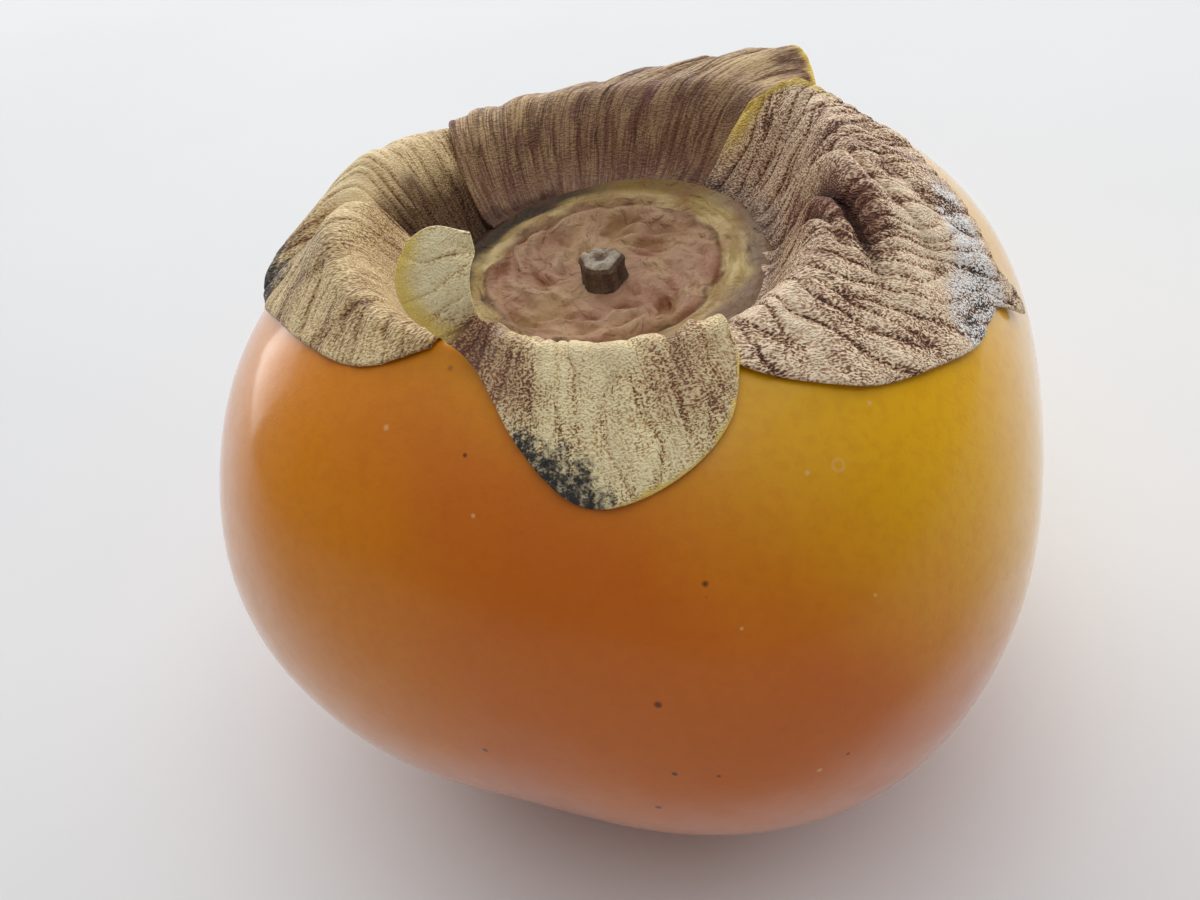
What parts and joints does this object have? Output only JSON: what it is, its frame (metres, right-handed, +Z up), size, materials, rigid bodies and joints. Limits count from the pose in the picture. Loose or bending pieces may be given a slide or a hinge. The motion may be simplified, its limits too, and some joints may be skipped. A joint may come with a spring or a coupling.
{
  "type": "persimmon",
  "caption": "Squat, squarish persimmon with satin amber skin and a dried calyx: a wrinkled disc with a stem stub and curled papery sepals over the shoulder.",
  "frame": {"origin": "centre of the flat resting spot at the blossom end", "axes": "+Z up along the fruit's axis to the stem, +X to the right and +Y away from the viewer of the picture"},
  "size_m": [0.0758, 0.0772, 0.0664],
  "materials": {
    "fruit_skin": "satin waxy fruit skin, amber orange",
    "calyx_disc": "matt wrinkled mauve brown with an olive rim",
    "stem": "matt weathered grey-brown wood",
    "sepal": "matt dry khaki leaf with fine veins and charcoal tips"
  },
  "bodies": {
    "root": {"fruit": "fruit_skin", "calyx_disc": "calyx_disc", "stem_stub": "stem", "sepal_front": "sepal", "sepal_right": "sepal", "sepal_back": "sepal", "sepal_left": "sepal"}
  },
  "joints": []
}
